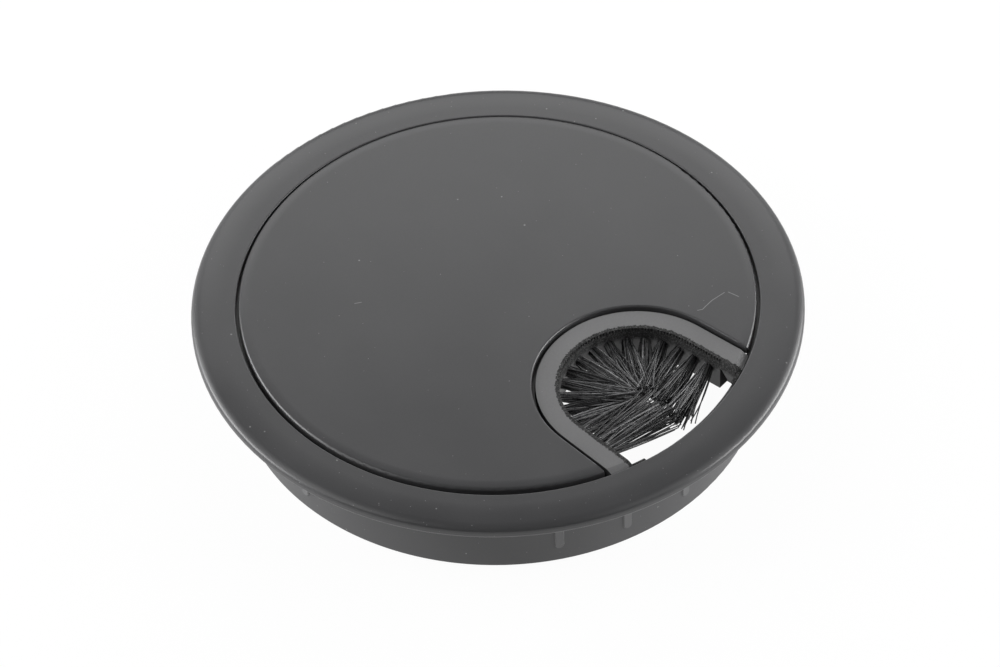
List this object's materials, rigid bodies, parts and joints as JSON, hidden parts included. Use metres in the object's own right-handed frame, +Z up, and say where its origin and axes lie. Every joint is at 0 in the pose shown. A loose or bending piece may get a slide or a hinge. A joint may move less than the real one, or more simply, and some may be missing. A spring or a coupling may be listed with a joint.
{
  "type": "desk cable grommet",
  "caption": "Round plastic desk cable grommet: flanged ring with a ribbed skirt, drop-in lid and a U-shaped brush strip round its cable outlet.",
  "frame": {"origin": "centre of the skirt in the plane of the flange's underside, which is the desk top", "axes": "+Z up out of the desk along the ring's axis, -Y toward the cable outlet, +X to the right when looking along +Y"},
  "size_m": [0.092, 0.092, 0.0154],
  "materials": {
    "ring_plastic": "fine matt",
    "lid_plastic": "fine matt",
    "strip_plastic": "satin",
    "bristle": "satin filament",
    "anchor": "bright flat wire"
  },
  "bodies": {
    "root": {"ring": "ring_plastic", "lid": "lid_plastic", "brush_strip": "strip_plastic", "tuft_01": "bristle", "tuft_02": "bristle", "tuft_03": "bristle", "tuft_04": "bristle", "tuft_05": "bristle", "tuft_06": "bristle", "tuft_07": "bristle", "tuft_08": "bristle", "tuft_09": "bristle", "tuft_10": "bristle", "tuft_11": "bristle", "tuft_12": "bristle", "tuft_13": "bristle", "tuft_14": "bristle", "tuft_15": "bristle", "tuft_16": "bristle", "tuft_17": "bristle", "anchor_01": "anchor", "anchor_02": "anchor", "anchor_03": "anchor", "anchor_04": "anchor", "anchor_05": "anchor", "anchor_06": "anchor", "anchor_07": "anchor", "anchor_08": "anchor", "anchor_09": "anchor", "anchor_10": "anchor", "anchor_11": "anchor", "anchor_12": "anchor", "anchor_13": "anchor", "anchor_14": "anchor", "anchor_15": "anchor", "anchor_16": "anchor", "anchor_17": "anchor"}
  },
  "joints": []
}
